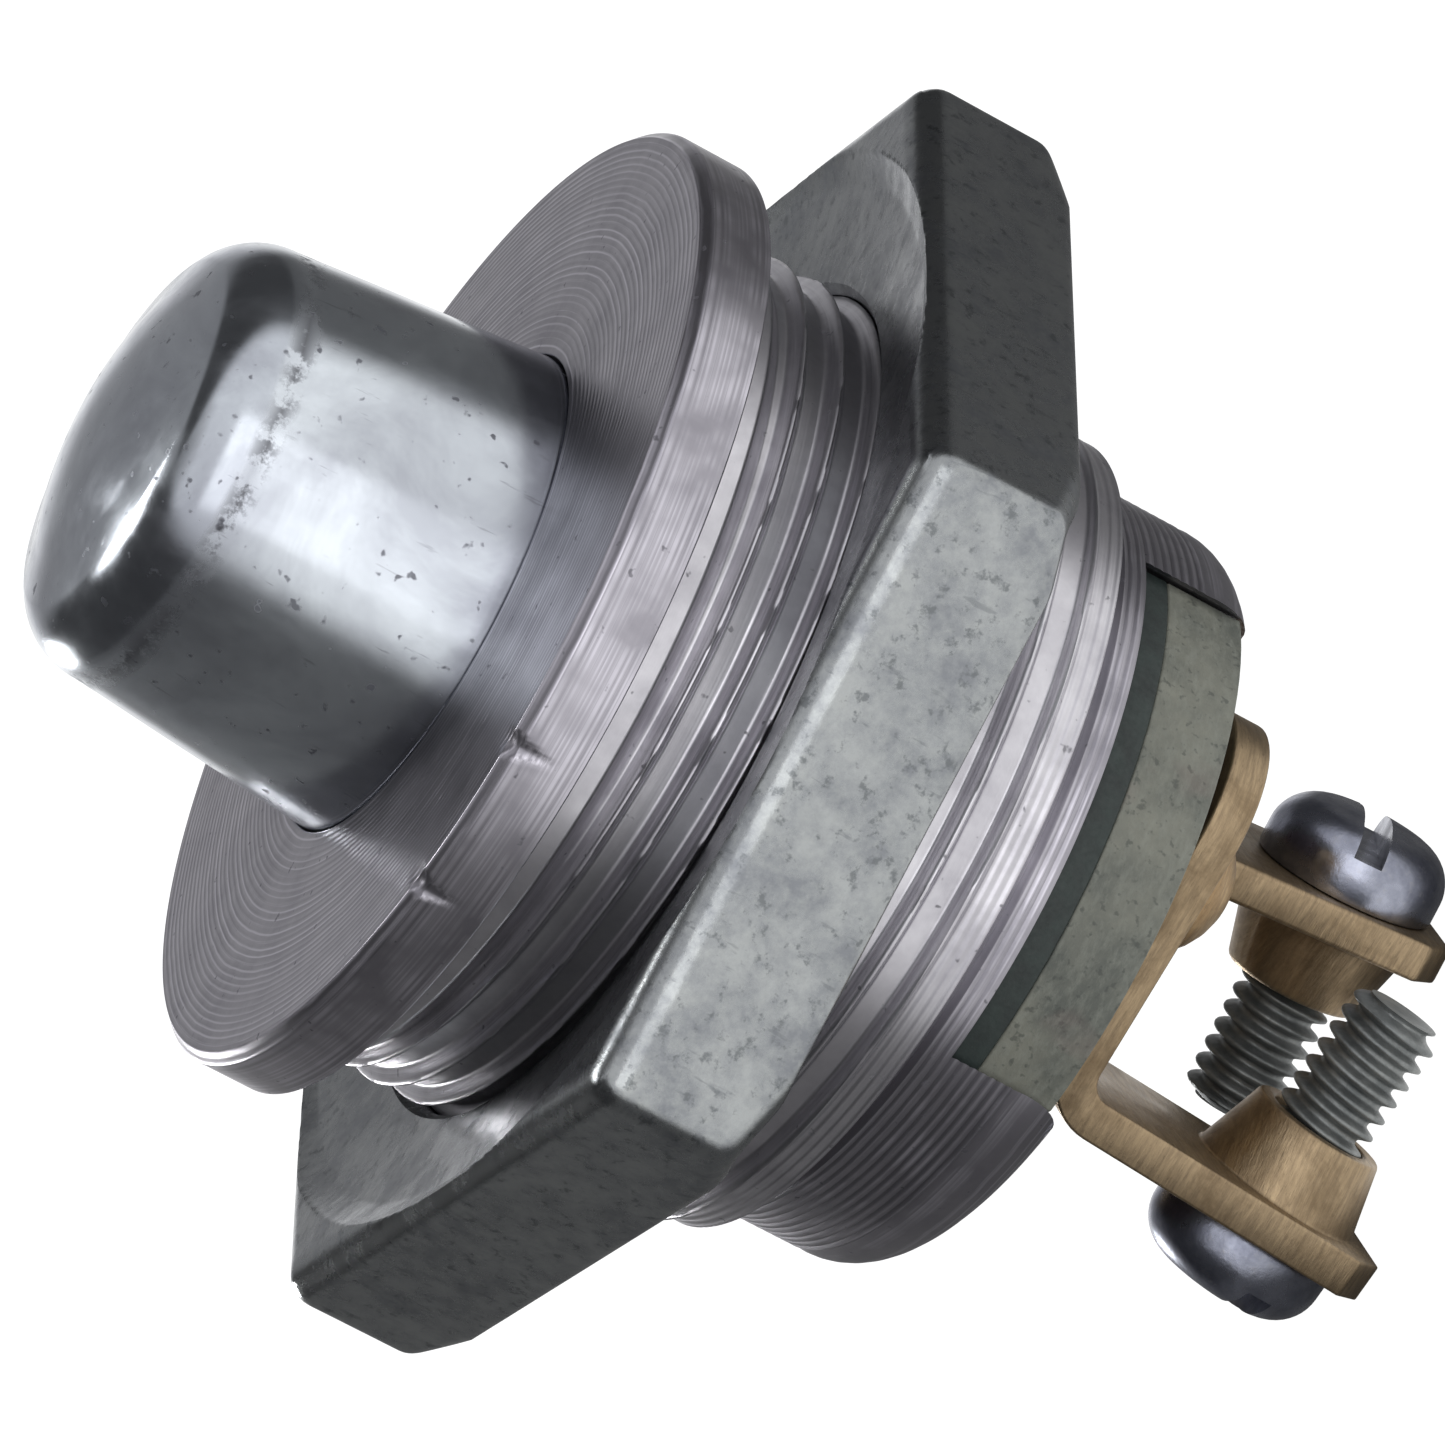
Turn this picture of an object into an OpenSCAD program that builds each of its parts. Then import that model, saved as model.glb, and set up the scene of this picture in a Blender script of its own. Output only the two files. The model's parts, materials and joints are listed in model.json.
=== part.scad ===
// Panel push-button switch with a screw barrel, a hexagon panel nut and two screw terminals.
// Millimetres. The origin is on the axis, on the underside of the flange, where the panel lies.
// +Z points out of the panel, the way the button stands. Terminal A is on the -Y side.

/* [Flange] */
// How far the flange stands out past the thread
flange_w = 1.75; // [0.8:0.05:5]
// Thickness of the flange
flange_t = 2.2; // [1.8:0.1:4]
// Chamfer round the flange's front edge
flange_chamfer = 0.3; // [0.2:0.05:0.6]
// Angles of the two tapered nicks in the flange's rim
nick_angles = [260, 241];
// Width of a nick where it starts, at the front edge
nick_w = 1.1; // [0.5:0.1:1.6]
// Depth of a nick where it starts
nick_depth = 0.45; // [0.2:0.05:0.8]
// Length of a nick along the rim's side
nick_run = 1.4; // [0.8:0.1:1.6]
// Width of a nick where it ends
nick_tip_w = 0.1; // [0.05:0.05:0.3]

/* [Barrel] */
// Length of the plain register that centres the barrel in the panel's hole
register_len = 1.1; // [0.8:0.1:2]
// Pitch of the thread
thread_pitch = 1.25; // [1:0.05:1.5]
// Number of turns on the thread
thread_turns = 9; // [8:1:12]
// Length of the plain land behind the thread
land_len = 0.7; // [0.4:0.1:1.2]
// Length of the cone from the land out to the head
neck_len = 0.5; // [0.3:0.1:1]
// Break on the flange's back edge
back_break = 0.15; // [0.05:0.05:0.3]
// How far the thread stands out past the plain head behind it
head_step = 1.3; // [1:0.1:2.5]
// Wall of the head round the disc
head_wall = 1.5; // [1:0.1:2.5]
// Width of the slot milled across the head
slot_w = 15.7; // [14:0.1:17]
// Direction of the slot, from +X
slot_angle = -71; // [-80:1:-60]
// Length of the lip that is rolled over the disc
lip_len = 0.8; // [0.6:0.05:1]
// Radius that the lip is rolled to on the outside
lip_round = 1.9; // [1.2:0.1:2]

/* [Button] */
// Diameter of the button where it leaves the flange
button_d = 15; // [13:0.1:16]
// How much the button narrows towards its rounded edge, on the radius
button_taper = 0.75; // [0.2:0.05:1]
// Height that the button stands out of the flange
button_h = 11; // [8:0.1:14]
// Radius round the button's edge
button_edge_r = 1.7; // [0.8:0.1:2]
// Height of the dome on the button's end
button_dome_h = 0.75; // [0.4:0.05:1.2]
// How far the button travels until the contacts close
button_travel = 3; // [2.4:0.1:3.2]
// How far the shoulder that keeps the button in stands out past the button
shoulder_w = 1.1; // [0.8:0.1:1.6]
// Thickness of that shoulder
shoulder_t = 1.4; // [1:0.1:1.8]
// Distance from the flange's underside to the step that the shoulder rests on
stop_z = 1; // [0.6:0.1:1.4]
// Gap between the spring and the hollow in the button that holds it
hollow_gap = 0.95; // [0.5:0.05:1.2]
// Thickness of the button above the hollow
cap_t = 3.6; // [3:0.1:4.5]
// How deep the stem sits in the button's end
stem_grip = 2; // [1:0.1:2.5]

/* [Plunger and spring] */
// Diameter of the stem
stem_d = 4; // [3.4:0.1:4.6]
// Step from the stem to its thin end, on the radius
stem_step_w = 0.6; // [0.3:0.1:0.9]
// Diameter of the spring's wire
spring_wire_d = 0.9; // [0.6:0.05:1]
// Gap between the stem and the spring round it
spring_gap = 1.55; // [0.8:0.05:1.8]
// Number of turns of the spring
spring_turns = 6; // [5:1:8]
// Thickness of the guide bush
guide_t = 2.5; // [2:0.1:3]
// Width of the step that the guide bush rests against
guide_seat_w = 0.5; // [0.3:0.1:1]
// Thickness of the washer that the spring stands on
spring_washer_t = 0.4; // [0.3:0.05:0.6]

/* [Contacts] */
// Gap between the moving contact disc and the liner
contact_gap = 0.5; // [0.3:0.1:1]
// Thickness of the moving contact disc
contact_t = 0.8; // [0.6:0.1:1]
// Thickness of the insulating washer above the contact disc, and of the bush's flange below it
insulation_t = 0.6; // [0.4:0.1:0.8]
// Diameter of the insulating washer and of the bush's flange
insulation_d = 6.2; // [5.2:0.1:7.4]
// Wall of the bush's sleeve, which keeps the contact disc off the stem
sleeve_wall = 0.75; // [0.5:0.05:1]
// Width of the clip's ring round the stem's end
clip_w = 1.3; // [0.8:0.1:1.6]
// Thickness of the clip
clip_t = 0.4; // [0.3:0.05:0.6]
// How far the stem's end shows past the clip
stem_proud = 0.4; // [0.2:0.05:0.8]
// Diameter of the rivet's shank
rivet_d = 2.4; // [2:0.1:3]
// Diameter of the rivet's domed head behind the terminal
rivet_head_d = 4.5; // [4:0.1:5]
// Height of the rivet's domed head
rivet_head_h = 1.35; // [0.8:0.05:1.6]
// Diameter of the rivet's collar, in front of the disc
rivet_collar_d = 3.6; // [3.2:0.1:3.8]
// Height of the rivet's collar, from the disc to the silver tip's back
rivet_collar_h = 1.58; // [1.2:0.02:2.6]
// How far the silver tip's edge lies inside the collar's edge
tip_inset = 0.3; // [0.1:0.05:0.6]
// Thickness of the silver tip on the rivet
tip_t = 0.6; // [0.4:0.1:0.8]
// Thickness of the liner round the contacts
liner_t = 0.75; // [0.5:0.05:0.8]

/* [Insulator] */
// Thickness of the gasket in front of the disc
gasket_t = 1; // [0.5:0.1:1.2]
// Thickness of the insulator disc
disc_t = 2.5; // [1.8:0.05:3]
// How far the disc's ears, which lie in the slot, stay inside the head
ear_inset = 0.4; // [0.2:0.1:1]
// Width of the seat behind the disc's edge
disc_seat_w = 0.85; // [0.6:0.05:1.2]
// Thickness of the fibre spacer between the disc and the terminals
spacer_t = 0.9; // [0.6:0.05:1.2]
// How far the spacer's edge stays inside the lip
spacer_inset = 1.5; // [1:0.1:2.5]

/* [Panel nut] */
// Wall of the nut at its flats, outside the thread
nut_wall = 4; // [2:0.1:6]
// Thickness of the nut
nut_t = 5.2; // [4:0.1:7]
// Distance from the flange's underside to the nut's front face
nut_z = 3.6; // [2:0.05:4.5]
// How far the dish in the nut's front face reaches past the flats
dish_past = 0.05; // [0:0.05:0.4]
// Width of the dish's steep edge
dish_edge_w = 0.9; // [0.5:0.1:1.5]
// Depth of the dish at its edge, where it falls steeply
dish_edge_depth = 0.5; // [0.3:0.05:0.8]
// Depth of the dish at the bore
dish_depth = 1; // [0.8:0.05:1.6]
// How far past the flats the chamfer at the nut's back starts
chamfer_past = 1.3; // [0.5:0.1:2]

/* [Terminals] */
// Thickness of the terminal's sheet
term_t = 1.2; // [1:0.05:1.6]
// Width of the terminal
term_w = 6.4; // [6:0.1:6.8]
// Gap between the two terminals, seen along the axis
term_gap = 1.6; // [1:0.1:3]
// Distance from the axis to the leg's inner face
leg_x = 2.6; // [2.4:0.1:3]
// Distance from the axis to the base's rounded end
base_x = 8.5; // [8:0.1:8.7]
// Distance from the axis to the rivet, along the base
rivet_x = 3.6; // [3.2:0.1:4.4]
// How far the rivet lies outside the middle of the base
rivet_shift = 0.6; // [0.3:0.1:0.8]
// Inside radius of the bend
bend_r = 0.7; // [0.4:0.1:1]
// Length of the leg, from the base's front face
leg_len = 11.9; // [10:0.1:16]
// Angle of the terminals about the axis, from +X
term_angle = -10.5; // [-12:0.5:-6]
// How far the legs are splayed away from the axis, as an angle
leg_splay = 4; // [0:0.5:6]
// Chamfer on the leg's corners
leg_chamfer = 0.9; // [0.4:0.1:1.6]
// Distance from the leg's end to the screw's axis
screw_from_end = 3.1; // [2.8:0.05:4]
// Height of the drawn collar
collar_h = 2.2; // [1.6:0.1:3]
// How much the collar widens towards the leg, on the radius
collar_draft = 0.6; // [0.2:0.1:1]
// Wall of the collar at its end, round the screw
collar_wall = 0.525; // [0.4:0.025:0.8]

/* [Terminal screws] */
// Outside diameter of the screw's thread
screw_d = 2.95; // [2.8:0.05:3.2]
// Pitch of the screw's thread
screw_pitch = 0.6; // [0.5:0.05:0.7]
// Length of the screw under its head
screw_len = 7.5; // [6:0.1:8]
// Diameter of the screw's head
screw_head_d = 5.6; // [5:0.1:6]
// Height of the screw's head
screw_head_h = 2.3; // [1.8:0.1:2.6]
// Radius round the head's edge
screw_edge_r = 1.3; // [0.6:0.1:1.5]
// Length of the screw's point
point_len = 0.3; // [0.2:0.05:0.5]
// Shortest plain length under the head
plain_min = 0.5; // [0.3:0.05:0.8]
// Width of the driver slot
driver_w = 1.1; // [0.8:0.05:1.3]
// Depth of the driver slot
driver_depth = 1.2; // [0.8:0.05:1.4]
// Angle of the driver slot when the screw is tight, from the leg's length
driver_angle = 78; // [0:1:180]

/* [Fits] */
// Running clearance of the button in the flange, on the radius
button_clear = 0.06; // [0.04:0.01:0.1]
// Clearance of the shoulder in the barrel, on the radius
shoulder_clear = 0.15; // [0.1:0.01:0.2]
// Running clearance of the stem in its bush, on the radius
stem_clear = 0.05; // [0.03:0.01:0.08]
// Clearance of the nut over the barrel's thread, on the radius
nut_clear = 0.08; // [0.05:0.01:0.1]
// Clearance of a terminal screw in its collar, on the radius
screw_clear = 0.05; // [0.03:0.01:0.08]
// Clearance of pieces that are dropped into the barrel, on the radius
drop_clear = 0.05; // [0.03:0.01:0.1]
// Clearance of the spring washer in the hollow and round the stem, on the radius
washer_clear = 0.3; // [0.2:0.05:0.5]
// Clearance of the gasket's holes round the rivets' collars and the stem's clip, on the radius
gasket_clear = 0.1; // [0.05:0.05:0.3]
// Gap between moving pieces that pass each other face to face
pass_gap = 0.5; // [0.3:0.05:0.6]
// Gap left under the contact disc when the button is fully in
closed_gap = 0.02; // [0.01:0.01:0.05]

/* [Hidden] */
$fn = 96;
// How far a cutting shape runs past the face it cuts
past = 1;
// How far a nick's wedge runs past the rim
nick_past = 0.25;
// How far the plain land behind the thread stands out past the thread's root
land_rise = 0.1;
// Depth of a 60 degree thread with flats at its crests and roots, as a share of its pitch
thread_share = 0.6134;
// Slope of the nut's back chamfer, and how far its cutting shape reaches out
chamfer_slope = 30;
chamfer_reach = 3;
// Straight lengths in a rounded corner, and in a shallow dome
corner_steps = 8;
dome_steps = 6;
// Angle at which the button's rounded edge runs into its dome
edge_end_angle = 84;
// Sides of the spring's wire, and rings of points in each of its turns
wire_sides = 8;
rings_a_turn = 16;

// Diameters of the stem, the spring and the button
stem_end_d = stem_d - 2 * stem_step_w;
spring_coil_d = stem_d + 2 * spring_gap + spring_wire_d;
hollow_d = spring_coil_d + spring_wire_d + 2 * hollow_gap;
button_tip_d = button_d - 2 * button_taper;
shoulder_d = button_d + 2 * shoulder_w;

// Radii from the inside of the barrel to its outside
button_bore_r = button_d / 2 + button_clear;
shoulder_bore_r = shoulder_d / 2 + shoulder_clear;
guide_r = shoulder_bore_r + guide_seat_w;
chamber_r = guide_r + drop_clear;
lip_r = chamber_r;
disc_r = chamber_r + disc_seat_w;
recess_r = disc_r + drop_clear;
head_r = recess_r + head_wall;
thread_r = head_r + head_step;
flange_r = thread_r + flange_w;
ear_r = head_r - ear_inset;
spacer_r = lip_r - spacer_inset;
contact_r = guide_r - liner_t - contact_gap;

// Sizes of the nut, the terminals and their collars
nut_af = 2 * (thread_r + nut_wall);
dish_r = nut_af / 2 + dish_past;
nut_chamfer_r = nut_af / 2 + chamfer_past;
term_y = (term_w + term_gap) / 2;
rivet_y = term_y + rivet_shift;
collar_end_d = screw_d + 2 * (screw_clear + collar_wall);
collar_base_d = collar_end_d + 2 * collar_draft;

// Sizes of the barrel's thread
thread_depth = thread_share * thread_pitch;
thread_len = thread_turns * thread_pitch;
root_r = thread_r - thread_depth;
thread_end_z = -register_len - thread_len;

// Levels along the axis, from the front to the back
front_z = flange_t;
button_top_z = front_z + button_h;
shoulder_z = -stop_z;
skirt_z = shoulder_z - shoulder_t;
guide_z = skirt_z - button_travel - pass_gap;
guide_back_z = guide_z - guide_t;
stem_step_z = guide_back_z - pass_gap;
contact_z = stem_step_z - insulation_t;
contact_back_z = contact_z - contact_t;
bush_back_z = contact_back_z - insulation_t;
clip_back_z = bush_back_z - clip_t;
stem_tip_z = clip_back_z - stem_proud;
tip_face_z = contact_back_z - button_travel - closed_gap;
tip_back_z = tip_face_z - tip_t;
disc_z = tip_back_z - rivet_collar_h;
gasket_z = disc_z + gasket_t;
disc_back_z = disc_z - disc_t;
head_end_z = disc_back_z - lip_len;
base_z = disc_back_z - spacer_t;
base_back_z = base_z - term_t;
bend_outer_r = bend_r + term_t;
bend_x = -leg_x + bend_r;
bend_z = base_back_z - bend_r;
leg_end_z = -(leg_len - term_t - bend_r);
hollow_top_z = button_top_z - cap_t;
stem_top_z = hollow_top_z + stem_grip;

function arc(cx, cy, r, from, to, steps) = [
    for (i = [0 : steps])
        let (a = from + (to - from) * i / steps)
            [cx + r * cos(a), cy + r * sin(a)]
];

// Outline of one row of thread grooves along Z, going down from z, as points [radius, z]
function grooves(outer_r, depth, pitch, turns, z) = [
    for (i = [0 : turns - 1])
        each [
            [outer_r, z - i * pitch],
            [outer_r - depth, z - i * pitch - (pitch * 5 / 8 - pitch / 4)],
            [outer_r - depth, z - i * pitch - pitch * 5 / 8],
            [outer_r, z - (i + 1) * pitch + pitch / 8]
        ]
];

module ring(outer_r, inner_r, z, h) {
    translate([0, 0, z])
        difference() {
            cylinder(r = outer_r, h = h);
            translate([0, 0, -past])
                cylinder(r = inner_r, h = h + 2 * past);
        }
}

// The terminals' own frame, which is turned a little about the axis
module side_a() {
    rotate([0, 0, term_angle])
        children();
}

// The same frame half a turn on, for terminal B
module side_b() {
    rotate([0, 0, term_angle + 180])
        children();
}

// A round shape on the rivet's axis
module at_rivet() {
    translate([rivet_x, -rivet_y, 0])
        children();
}

// The leg's frame: its origin is the middle of the bend, and the leg runs along its -Z
module at_leg() {
    translate([bend_x, -term_y, bend_z])
        rotate([0, leg_splay, 0])
            children();
}

// The screw's frame: its +Z is the way the screw backs out, and its origin is on the leg's outer face
module at_screw() {
    at_leg()
        translate([-bend_outer_r, 0, leg_end_z + screw_from_end])
            rotate([0, -90, 0])
                children();
}

module barrel_outline() {
    land_z = thread_end_z - land_len;
    neck_z = land_z - neck_len;
    land_r = root_r + land_rise;
    run_out = land_rise + (thread_depth - land_rise) / 2;
    polygon(concat(
        [
            [0, front_z],
            [flange_r - flange_chamfer, front_z],
            [flange_r, front_z - flange_chamfer],
            [flange_r, back_break],
            [flange_r - back_break, 0],
            [thread_r, 0]
        ],
        grooves(thread_r, thread_depth, thread_pitch, thread_turns, -register_len),
        [
            [thread_r, thread_end_z],
            [land_r, thread_end_z - run_out],
            [land_r, land_z],
            [head_r, neck_z],
            [head_r, head_end_z + lip_round]
        ],
        arc(head_r - lip_round, head_end_z + lip_round, lip_round, 0, -90, corner_steps),
        [[0, head_end_z]]
    ));
}

// One nick: a tapered groove on the rim that starts at the front edge and runs out to a point
module rim_nick(angle) {
    rotate([0, 0, angle])
        translate([flange_r, 0, 0])
            polyhedron(
                points = [
                    [-flange_chamfer - nick_depth, 0, front_z + nick_past],
                    [nick_past, -nick_w / 2 - nick_past, front_z + nick_past],
                    [nick_past, nick_w / 2 + nick_past, front_z + nick_past],
                    [nick_past, nick_tip_w / 2, front_z - nick_run],
                    [nick_past, -nick_tip_w / 2, front_z - nick_run],
                    [nick_tip_w / 4, 0, front_z - nick_run]
                ],
                faces = [
                    [0, 1, 2], [3, 4, 5], [1, 4, 3, 2], [0, 2, 3, 5], [0, 5, 4, 1]
                ]
            );
}

module barrel() {
    color([0.62, 0.62, 0.65])
        difference() {
            rotate_extrude()
                barrel_outline();
            translate([0, 0, shoulder_z])
                cylinder(r = button_bore_r, h = front_z - shoulder_z + past);
            translate([0, 0, guide_z])
                cylinder(r = shoulder_bore_r, h = shoulder_z - guide_z);
            translate([0, 0, gasket_z])
                cylinder(r = chamber_r, h = guide_z - gasket_z);
            translate([0, 0, disc_back_z])
                cylinder(r = recess_r, h = gasket_z - disc_back_z);
            translate([0, 0, head_end_z - past])
                cylinder(r = lip_r, h = disc_back_z - head_end_z + past);
            rotate([0, 0, slot_angle])
                translate([-2 * head_r, -slot_w / 2, head_end_z - past])
                    cube([4 * head_r, slot_w, gasket_z - head_end_z + past]);
            for (angle = nick_angles)
                rim_nick(angle);
        }
}

module panel_nut() {
    bore_r = thread_r + nut_clear;
    back_z = -nut_z - nut_t;
    corner_r = nut_af / sqrt(3);
    color([0.5, 0.53, 0.55])
        difference() {
            translate([0, 0, back_z])
                cylinder(r = corner_r, h = nut_t, $fn = 6);
            translate([0, 0, back_z - past])
                cylinder(r = bore_r, h = nut_t + 2 * past);
            // the dish in the front face: a steep edge, then a shallow cone down to the bore
            rotate_extrude()
                polygon([
                    [0, -nut_z + past],
                    [dish_r, -nut_z + past],
                    [dish_r, -nut_z],
                    [dish_r - dish_edge_w, -nut_z - dish_edge_depth],
                    [bore_r, -nut_z - dish_depth],
                    [0, -nut_z - dish_depth]
                ]);
            // the chamfer on the corners at the back
            rotate_extrude()
                polygon([
                    [nut_chamfer_r, back_z],
                    [nut_chamfer_r + chamfer_reach, back_z + chamfer_reach * tan(chamfer_slope)],
                    [nut_chamfer_r + chamfer_reach, back_z - past],
                    [nut_chamfer_r, back_z - past]
                ]);
        }
}

module button_cap() {
    tip_r = button_tip_d / 2;
    edge_z = button_top_z - button_dome_h - button_edge_r;
    flat_r = tip_r - button_edge_r;
    // the dome is part of a large ball that passes through the edge's end and the button's highest point
    dome_r = (flat_r * flat_r + button_dome_h * button_dome_h) / (2 * button_dome_h);
    dome_half = asin(flat_r / dome_r);
    color([0.72, 0.72, 0.75])
        difference() {
            rotate_extrude()
                polygon(concat(
                    [
                        [0, skirt_z],
                        [shoulder_d / 2, skirt_z],
                        [shoulder_d / 2, shoulder_z],
                        [button_d / 2, shoulder_z],
                        [button_d / 2, front_z]
                    ],
                    arc(flat_r, edge_z, button_edge_r, 0, edge_end_angle, corner_steps),
                    arc(0, button_top_z - dome_r, dome_r, 90 - dome_half, 90, dome_steps)
                ));
            translate([0, 0, skirt_z - past])
                cylinder(d = hollow_d, h = hollow_top_z - skirt_z + past);
            cylinder(d = stem_d, h = stem_top_z);
        }
}

module plunger_stem() {
    color([0.7, 0.68, 0.6])
        union() {
            translate([0, 0, stem_step_z])
                cylinder(d = stem_d, h = stem_top_z - stem_step_z);
            translate([0, 0, stem_tip_z])
                cylinder(d = stem_end_d, h = stem_step_z - stem_tip_z);
        }
}

// Points of one ring of the spring's wire, round a point at an angle along the coil
function wire_ring(angle, z) = [
    for (k = [0 : wire_sides - 1])
        let (
            turn = 360 * k / wire_sides,
            r = spring_coil_d / 2 + spring_wire_d / 2 * cos(turn)
        )
            [r * cos(angle), r * sin(angle), z + spring_wire_d / 2 * sin(turn)]
];

module return_spring() {
    rings = spring_turns * rings_a_turn;
    low_z = guide_z + spring_washer_t + spring_wire_d / 2;
    high_z = hollow_top_z - spring_wire_d / 2;
    points = [
        for (i = [0 : rings])
            each wire_ring(360 * i / rings_a_turn, low_z + (high_z - low_z) * i / rings)
    ];
    sides = [
        for (i = [0 : rings - 1], k = [0 : wire_sides - 1])
            let (next = (k + 1) % wire_sides, low = wire_sides * i, high = wire_sides * (i + 1))
                [low + k, low + next, high + next, high + k]
    ];
    color([0.55, 0.56, 0.6])
        polyhedron(
            points = points,
            faces = concat(
                sides,
                [[for (k = [wire_sides - 1 : -1 : 0]) k]],
                [[for (k = [0 : wire_sides - 1]) wire_sides * rings + k]]
            ),
            convexity = 10
        );
}

module spring_washer() {
    color([0.6, 0.6, 0.62])
        ring(hollow_d / 2 - washer_clear, stem_d / 2 + washer_clear, guide_z, spring_washer_t);
}

module guide_bush() {
    color([0.78, 0.62, 0.32])
        ring(guide_r, stem_d / 2 + stem_clear, guide_back_z, guide_t);
}

module contact_liner() {
    color([0.3, 0.22, 0.16])
        ring(guide_r, guide_r - liner_t, gasket_z, guide_back_z - gasket_z);
}

module upper_insulating_washer() {
    color([0.35, 0.27, 0.2])
        ring(insulation_d / 2, stem_end_d / 2 + drop_clear, contact_z, insulation_t);
}

module lower_insulating_bush() {
    sleeve_r = stem_end_d / 2 + sleeve_wall;
    color([0.35, 0.27, 0.2])
        difference() {
            union() {
                translate([0, 0, contact_back_z])
                    cylinder(r = sleeve_r, h = contact_t);
                translate([0, 0, bush_back_z])
                    cylinder(d = insulation_d, h = insulation_t);
            }
            translate([0, 0, bush_back_z - past])
                cylinder(r = stem_end_d / 2 + drop_clear, h = contact_z - bush_back_z + 2 * past);
        }
}

module contact_disc() {
    color([0.75, 0.45, 0.3])
        ring(contact_r, stem_end_d / 2 + sleeve_wall + drop_clear, contact_back_z, contact_t);
}

module stem_clip() {
    color([0.45, 0.45, 0.48])
        ring(stem_end_d / 2 + clip_w, stem_end_d / 2, clip_back_z, clip_t);
}

// The outline of the pieces that lie in the head: round, with two ears that fill the slot
module keyed_outline() {
    circle(r = disc_r);
    intersection() {
        circle(r = ear_r);
        rotate(slot_angle)
            square([4 * ear_r, slot_w - 2 * drop_clear], center = true);
    }
}

// Two holes for the rivets, seen along the axis
module rivet_holes(hole_d) {
    for (turn = [0, 180])
        rotate(term_angle + turn)
            translate([rivet_x, -rivet_y])
                circle(d = hole_d);
}

module gasket_sheet() {
    color([0.14, 0.2, 0.18])
        translate([0, 0, disc_z])
            linear_extrude(height = gasket_t)
                difference() {
                    keyed_outline();
                    circle(r = stem_end_d / 2 + clip_w + gasket_clear);
                    rivet_holes(rivet_collar_d + 2 * gasket_clear);
                }
}

module insulator_disc() {
    color([0.5, 0.52, 0.46])
        translate([0, 0, disc_back_z])
            linear_extrude(height = disc_t)
                difference() {
                    keyed_outline();
                    rivet_holes(rivet_d);
                }
}

module fibre_spacer() {
    color([0.25, 0.12, 0.13])
        translate([0, 0, base_z])
            linear_extrude(height = spacer_t)
                difference() {
                    circle(r = spacer_r);
                    rivet_holes(rivet_d);
                }
}

// The bend seen from its edge, as x and z from the middle of the bend
module bend_profile() {
    reach = 2 * bend_outer_r;
    intersection() {
        difference() {
            circle(r = bend_outer_r);
            circle(r = bend_r);
        }
        polygon([
            [0, 0],
            [0, reach],
            [-reach, reach],
            [-reach, reach * tan(leg_splay)]
        ]);
    }
}

// The base seen along the axis, from the bend to its rounded end
module base_outline() {
    end_r = term_w / 2;
    translate([base_x - end_r, -term_y])
        circle(r = end_r);
    translate([bend_x, -term_y - end_r])
        square([base_x - end_r - bend_x, term_w]);
}

// The leg seen from outside, as y and z in the leg's frame, with its chamfered end
module leg_outline() {
    half_w = term_w / 2;
    polygon([
        [-half_w, 0],
        [-half_w, leg_end_z + leg_chamfer],
        [-half_w + leg_chamfer, leg_end_z],
        [half_w - leg_chamfer, leg_end_z],
        [half_w, leg_end_z + leg_chamfer],
        [half_w, 0]
    ]);
}

module terminal() {
    color([0.75, 0.6, 0.35])
        difference() {
            union() {
                translate([0, 0, base_back_z])
                    linear_extrude(height = term_t)
                        base_outline();
                translate([bend_x, -term_y + term_w / 2, bend_z])
                    rotate([90, 0, 0])
                        linear_extrude(height = term_w)
                            bend_profile();
                at_leg()
                    translate([-bend_outer_r, 0, 0])
                        rotate([90, 0, 90])
                            linear_extrude(height = term_t)
                                leg_outline();
                at_screw()
                    translate([0, 0, -term_t - collar_h])
                        cylinder(d1 = collar_end_d, d2 = collar_base_d, h = collar_h);
            }
            at_screw()
                translate([0, 0, -term_t - collar_h - past])
                    cylinder(d = screw_d + 2 * screw_clear, h = term_t + collar_h + 2 * past);
            at_rivet()
                translate([0, 0, base_back_z - past])
                    cylinder(d = rivet_d, h = term_t + 2 * past);
        }
}

module contact_rivet() {
    head_r = rivet_head_d / 2;
    dome_r = (head_r * head_r + rivet_head_h * rivet_head_h) / (2 * rivet_head_h);
    dome_half = asin(head_r / dome_r);
    color([0.72, 0.55, 0.32])
        at_rivet()
            rotate_extrude()
                polygon(concat(
                    [
                        [0, tip_back_z],
                        [rivet_collar_d / 2, tip_back_z],
                        [rivet_collar_d / 2, disc_z],
                        [rivet_d / 2, disc_z],
                        [rivet_d / 2, base_back_z]
                    ],
                    arc(0, base_back_z - rivet_head_h + dome_r, dome_r, -90 + dome_half, -90, dome_steps)
                ));
}

module silver_tip() {
    color([0.8, 0.8, 0.8])
        at_rivet()
            translate([0, 0, tip_back_z])
                cylinder(r = rivet_collar_d / 2 - tip_inset, h = tip_t);
}

module terminal_screw() {
    turns = floor((screw_len - point_len - plain_min) / screw_pitch);
    screw_r = screw_d / 2;
    head_r = screw_head_d / 2;
    plain_len = screw_len - point_len - turns * screw_pitch;
    edge_x = head_r - screw_edge_r;
    edge_z = screw_head_h - screw_edge_r;
    color([0.5, 0.5, 0.56])
        at_screw()
            difference() {
                rotate_extrude()
                    polygon(concat(
                        [[0, screw_head_h]],
                        arc(edge_x, edge_z, screw_edge_r, 90, 0, corner_steps),
                        [
                            [head_r, 0],
                            [screw_r, 0]
                        ],
                        grooves(screw_r, thread_share * screw_pitch, screw_pitch, turns, -plain_len),
                        [
                            [screw_r, -screw_len + point_len],
                            [screw_r - point_len, -screw_len],
                            [0, -screw_len]
                        ]
                    ));
                translate([0, 0, screw_head_h])
                    rotate([0, 0, driver_angle])
                        cube([2 * screw_head_d, driver_w, 2 * driver_depth], center = true);
            }
}

module terminal_a() {
    side_a()
        terminal();
}

module terminal_b() {
    side_b()
        terminal();
}

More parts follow.
